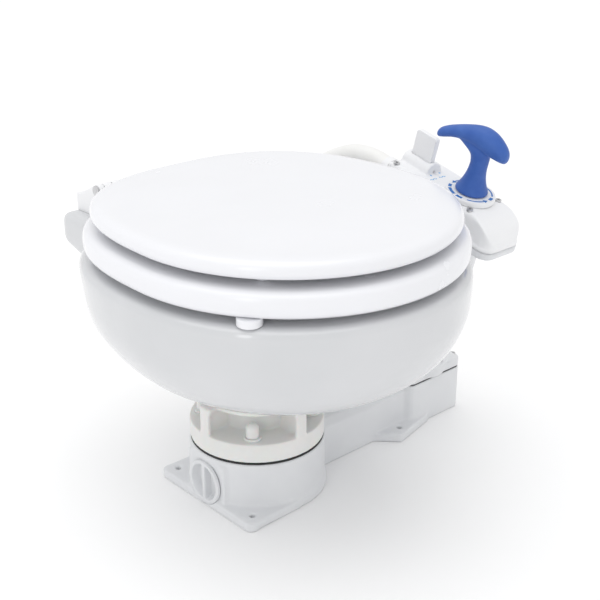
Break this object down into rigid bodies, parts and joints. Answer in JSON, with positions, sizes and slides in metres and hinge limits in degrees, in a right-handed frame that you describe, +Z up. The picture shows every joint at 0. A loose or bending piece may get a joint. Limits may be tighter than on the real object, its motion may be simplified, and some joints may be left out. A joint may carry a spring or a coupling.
{
  "type": "manual marine toilet",
  "caption": "Compact manual marine toilet: oval china bowl with hinged seat and lid on a moulded base, with a T-handle hand pump, a flush lever and a flush hose.",
  "frame": {"origin": "on the floor, under the centre of the bowl outlet and of the round end of the base", "axes": "+Z up, -Y to the front of the bowl, +X towards the pump"},
  "size_m": [0.498, 0.4619, 0.3851],
  "materials": {
    "white_moulding": "moulded white plastic, satin gloss",
    "seat_white": "painted white seat and lid, satin gloss",
    "china": "white vitreous china, glossy glaze",
    "cream_moulding": "cream moulded plastic, slightly cloudy",
    "black_rubber": "black rubber",
    "stainless": "stainless steel",
    "hose_cream": "cream sanitation hose, satin",
    "blue_grip": "blue soft-touch grip",
    "pale_rubber": "white silicone rubber",
    "bush_plastic": "tan bearing plastic"
  },
  "bodies": {
    "base": {"base_housing": "white_moulding", "ring_gasket": "black_rubber", "bowl_support_ring": "cream_moulding", "ring_bolts": "stainless", "ring_washers": "cream_moulding", "dome_nuts": "cream_moulding", "bowl_gasket": "black_rubber", "outlet_spud": "cream_moulding", "spud_nut": "cream_moulding", "bowl": "china", "inlet_gasket": "black_rubber", "inlet_elbow": "white_moulding", "flush_hose": "hose_cream", "hose_clips": "white_moulding", "pump_base_gasket": "black_rubber", "pump_foot": "white_moulding", "pump_foot_screws": "stainless", "pump_cylinder": "white_moulding", "head_gasket": "pale_rubber", "pump_head": "white_moulding", "head_screws": "stainless", "intake_tail": "white_moulding", "head_outlet_tail": "white_moulding", "seal_housing": "white_moulding", "rod_bush": "bush_plastic", "rod_seal": "black_rubber", "rod_wiper": "black_rubber", "lever_pin": "stainless", "joker_valve": "black_rubber", "discharge_tail": "white_moulding", "discharge_screws": "stainless", "hinge_posts": "white_moulding", "hinge_pins": "stainless", "hinge_bolts": "stainless", "hinge_washers": "black_rubber", "hinge_nuts": "white_moulding"},
    "piston_set": {"piston": "white_moulding", "piston_oring": "black_rubber"},
    "handle_set": {"piston_rod": "stainless", "piston_nut": "stainless", "handle": "blue_grip"},
    "flush_lever": {"flush_lever": "white_moulding", "valve_cam": "white_moulding"},
    "inlet_valve": {"inlet_valve": "black_rubber"},
    "seat": {"seat_ring": "seat_white", "seat_buffers": "seat_white", "seat_hinge_arms": "white_moulding", "seat_hinge_screws": "stainless"},
    "lid": {"lid_panel": "seat_white", "lid_buffers": "seat_white", "lid_hinge_arms": "white_moulding", "lid_hinge_screws": "stainless"},
    "plug_seal": {"plug_oring": "black_rubber"},
    "clean_out_plug": {"base_plug": "white_moulding"},
    "bottom_flap": {"bottom_flap": "black_rubber", "flap_weight": "stainless"}
  },
  "joints": [
    {"name": "pump_stroke", "type": "slide", "parent": "base", "child": "piston_set", "axis": [0, -0.2588, 0.9659], "range_m": [0, 0.1]},
    {"name": "handle_twist", "type": "hinge", "parent": "piston_set", "child": "handle_set", "pos_m": [0.256, -0.07877, 0.30921], "axis": [0, -0.2588, 0.9659], "range_deg": [0, 90]},
    {"name": "flush_lever_tilt", "type": "hinge", "parent": "base", "child": "flush_lever", "pos_m": [0.256, -0.00162, 0.32264], "axis": [0, 0.9659, 0.2588], "range_deg": [0, 35]},
    {"name": "inlet_valve_lift", "type": "slide", "parent": "base", "child": "inlet_valve", "axis": [0, -0.2588, 0.9659], "range_m": [0, 0.0031]},
    {"name": "seat_hinge", "type": "hinge", "parent": "base", "child": "seat", "pos_m": [0, 0.163, 0.323], "axis": [-1, 0, 0], "range_deg": [0, 98]},
    {"name": "lid_hinge", "type": "hinge", "parent": "seat", "child": "lid", "pos_m": [0, 0.163, 0.323], "axis": [1, 0, 0], "range_deg": [-100, 0]},
    {"name": "plug_travel", "type": "slide", "parent": "base", "child": "plug_seal", "axis": [-1, 0, 0], "range_m": [0, 0.0122]},
    {"name": "plug_turn", "type": "hinge", "parent": "plug_seal", "child": "clean_out_plug", "pos_m": [-0.0765, 0, 0.0275], "axis": [-1, 0, 0], "range_deg": [0, 1080]},
    {"name": "bottom_flap_lift", "type": "hinge", "parent": "base", "child": "bottom_flap", "pos_m": [0.245, 0.0075, 0.06], "axis": [-1, 0, 0], "range_deg": [0, 30]}
  ],
  "couplings": [
    {"joint": "inlet_valve_lift", "follows": "flush_lever_tilt", "m_per_rad": 0.0049111},
    {"joint": "plug_travel", "follows": "plug_turn", "m_per_rad": 0.00063662}
  ]
}
